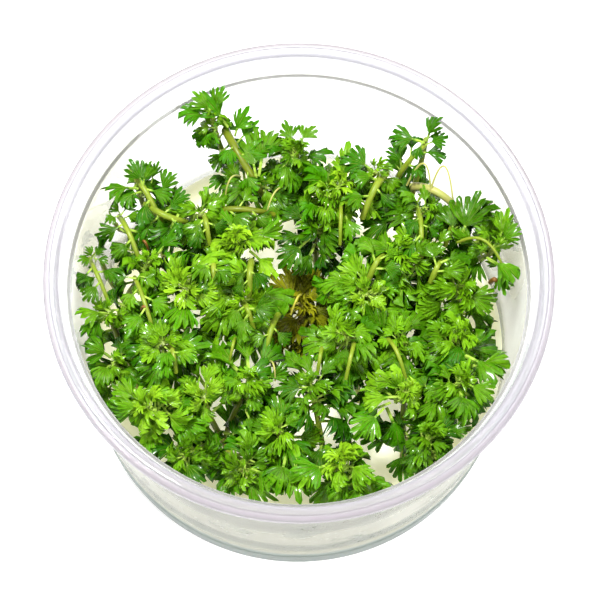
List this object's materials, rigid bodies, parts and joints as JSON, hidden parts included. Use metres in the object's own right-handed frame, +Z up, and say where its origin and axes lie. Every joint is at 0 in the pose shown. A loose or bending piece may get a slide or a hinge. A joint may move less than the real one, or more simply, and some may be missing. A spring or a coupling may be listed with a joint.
{
  "type": "tissue culture water violet in its cup",
  "caption": "Leafy water violet shoots with fan-cut bright green leaves, grown in tissue culture on a bed of pale agar gel in an open clear round plastic cup with a stepped rim.",
  "frame": {"origin": "middle of the cup's flat underside, on the surface that it stands on", "axes": "+Z up through the cup's mouth, +Y towards the far side of the cup as the picture shows it, +X to the right"},
  "size_m": [0.1, 0.1, 0.056],
  "materials": {
    "cup_plastic": "clear moulded plastic, glossy, faintly lavender-white at the rim, with light haze and condensation marks on the wall",
    "agar_gel": "translucent pale cream jelly, moist and softly glossy",
    "stem": "smooth moist pale yellow-green stem",
    "old_stem": "smooth moist olive-brown stem",
    "leaf_bright": "glossy bright green leaf with paler veins",
    "leaf_mid": "glossy mid green leaf with paler veins",
    "leaf_deep": "glossy deep green leaf with paler veins",
    "leaf_old": "limp olive-brown old leaf"
  },
  "bodies": {
    "root": {"cup": "cup_plastic", "agar_gel": "agar_gel", "stem_01": "stem", "stem_02": "stem", "stem_03": "stem", "stem_04": "stem", "stem_05": "stem", "stem_06": "stem", "stem_07": "stem", "stem_08": "stem", "stem_09": "stem", "stem_10": "stem", "stem_11": "stem", "stem_12": "old_stem", "stem_13": "stem", "stem_14": "stem", "stem_15": "stem", "stem_16": "stem", "stem_17": "stem", "stem_18": "stem", "stem_19": "stem", "leaf_crown_01": "leaf_bright", "leaf_crown_02": "leaf_deep", "leaf_crown_03": "leaf_mid", "leaf_crown_04": "leaf_deep", "leaf_crown_05": "leaf_deep", "leaf_crown_06": "leaf_mid", "leaf_crown_07": "leaf_mid", "leaf_crown_08": "leaf_mid", "leaf_crown_09": "leaf_bright", "leaf_crown_10": "leaf_mid", "leaf_crown_11": "leaf_deep", "leaf_crown_12": "leaf_bright", "leaf_crown_13": "leaf_mid", "leaf_crown_14": "leaf_mid", "leaf_crown_15": "leaf_bright", "leaf_crown_16": "leaf_mid", "leaf_crown_17": "leaf_mid", "leaf_crown_18": "leaf_deep", "leaf_crown_19": "leaf_deep", "leaf_crown_20": "leaf_mid", "leaf_crown_21": "leaf_mid", "leaf_crown_22": "leaf_bright", "leaf_crown_23": "leaf_deep", "leaf_crown_24": "leaf_old", "leaf_crown_25": "leaf_mid", "leaf_crown_26": "leaf_deep", "leaf_crown_27": "leaf_deep", "leaf_crown_28": "leaf_mid", "leaf_crown_29": "leaf_mid", "leaf_crown_30": "leaf_bright", "leaf_crown_31": "leaf_deep", "leaf_crown_32": "leaf_bright", "leaf_crown_33": "leaf_mid", "leaf_crown_34": "leaf_deep", "leaf_crown_35": "leaf_bright", "leaf_crown_36": "leaf_mid", "leaf_crown_37": "leaf_mid", "leaf_crown_38": "leaf_bright", "leaf_crown_39": "leaf_deep"}
  },
  "joints": []
}
